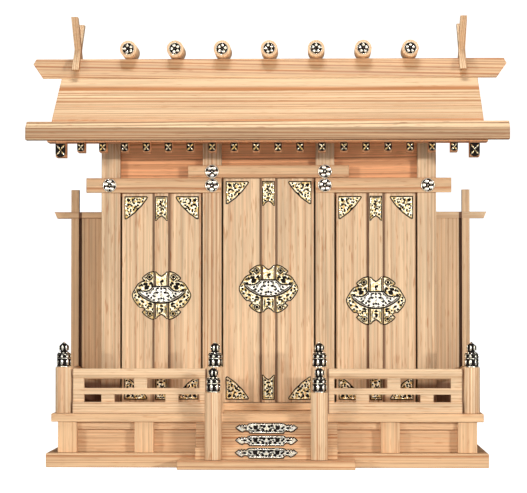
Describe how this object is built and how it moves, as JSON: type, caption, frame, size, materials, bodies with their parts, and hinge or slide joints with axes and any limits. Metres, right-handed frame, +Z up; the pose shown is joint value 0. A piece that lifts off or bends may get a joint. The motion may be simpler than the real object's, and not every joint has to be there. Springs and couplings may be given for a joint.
{
  "type": "household shrine shelf",
  "caption": "Wooden household shrine with three pairs of hinged doors under one gabled roof, on a railed veranda with steps and gilded fittings.",
  "frame": {"origin": "centre of the footprint's bounding box on the surface that it stands on", "axes": "+Z up, the doors face -Y, +X along the ridge to the viewer's right"},
  "size_m": [0.5124, 0.2, 0.4762],
  "materials": {
    "body_softwood": "planed bare softwood with straight grain, satin",
    "door_softwood": "planed bare softwood, upright straight grain",
    "roof_softwood": "planed bare softwood, grain along the roof",
    "shaded_softwood": "bare softwood in the shade of the eaves, warmer",
    "gilt_brass": "stamped gilt sheet metal, bright with dark sunk pattern"
  },
  "bodies": {
    "shrine": {"attic_frame": "shaded_softwood", "back_wall": "body_softwood", "balustrade_front_left": "body_softwood", "balustrade_front_right": "body_softwood", "balustrade_side_left": "body_softwood", "balustrade_side_right": "body_softwood", "bargeboard_left": "roof_softwood", "bargeboard_right": "roof_softwood", "base_board": "body_softwood", "base_frame": "body_softwood", "chigi_left": "roof_softwood", "chigi_right": "roof_softwood", "corner_post_left": "body_softwood", "corner_post_left_finial": "gilt_brass", "corner_post_right": "body_softwood", "corner_post_right_finial": "gilt_brass", "eave_board_front": "roof_softwood", "floor": "body_softwood", "frieze_panel": "shaded_softwood", "inner_pillar_left": "body_softwood", "inner_pillar_right": "body_softwood", "inner_post_left": "body_softwood", "inner_post_left_finial": "gilt_brass", "inner_post_right": "body_softwood", "inner_post_right_finial": "gilt_brass", "lower_nageshi_left": "body_softwood", "lower_nageshi_right": "body_softwood", "newel_left": "body_softwood", "newel_left_finial": "gilt_brass", "newel_right": "body_softwood", "newel_right_finial": "gilt_brass", "outer_pillar_left": "body_softwood", "outer_pillar_right": "body_softwood", "partition_left": "shaded_softwood", "partition_right": "shaded_softwood", "rafters_front": "roof_softwood", "ridge_beam": "roof_softwood", "ridge_log_1": "roof_softwood", "ridge_log_2": "roof_softwood", "ridge_log_3": "roof_softwood", "ridge_log_4": "roof_softwood", "ridge_log_5": "roof_softwood", "ridge_log_6": "roof_softwood", "ridge_log_7": "roof_softwood", "roof_slope_back": "roof_softwood", "roof_slope_front": "roof_softwood", "side_wall_left": "body_softwood", "side_wall_right": "body_softwood", "sill": "body_softwood", "stair": "body_softwood", "step_platform": "body_softwood", "upper_nageshi": "body_softwood", "wing_left": "body_softwood", "wing_right": "body_softwood"},
    "left_door_left": {"left_door_left": "door_softwood"},
    "left_door_right": {"left_door_right": "door_softwood"},
    "middle_door_left": {"middle_door_left": "door_softwood"},
    "middle_door_right": {"middle_door_right": "door_softwood"},
    "right_door_left": {"right_door_left": "door_softwood"},
    "right_door_right": {"right_door_right": "door_softwood"}
  },
  "joints": [
    {"name": "left_door_left_hinge", "type": "hinge", "parent": "shrine", "child": "left_door_left", "pos_m": [-0.1532, 0.004, 0.17], "axis": [0, 0, 1], "range_deg": [-90, 0]},
    {"name": "left_door_right_hinge", "type": "hinge", "parent": "shrine", "child": "left_door_right", "pos_m": [-0.0748, 0.004, 0.17], "axis": [0, 0, 1], "range_deg": [0, 90]},
    {"name": "middle_door_left_hinge", "type": "hinge", "parent": "shrine", "child": "middle_door_left", "pos_m": [-0.0452, 0.004, 0.17], "axis": [0, 0, 1], "range_deg": [-80, 0]},
    {"name": "middle_door_right_hinge", "type": "hinge", "parent": "shrine", "child": "middle_door_right", "pos_m": [0.0452, 0.004, 0.17], "axis": [0, 0, 1], "range_deg": [0, 80]},
    {"name": "right_door_left_hinge", "type": "hinge", "parent": "shrine", "child": "right_door_left", "pos_m": [0.0748, 0.004, 0.17], "axis": [0, 0, 1], "range_deg": [-90, 0]},
    {"name": "right_door_right_hinge", "type": "hinge", "parent": "shrine", "child": "right_door_right", "pos_m": [0.1532, 0.004, 0.17], "axis": [0, 0, 1], "range_deg": [0, 90]}
  ],
  "couplings": [
    {"joint": "left_door_left_hinge", "follows": "left_door_right_hinge", "ratio": -1},
    {"joint": "middle_door_left_hinge", "follows": "middle_door_right_hinge", "ratio": -1},
    {"joint": "right_door_left_hinge", "follows": "right_door_right_hinge", "ratio": -1}
  ]
}
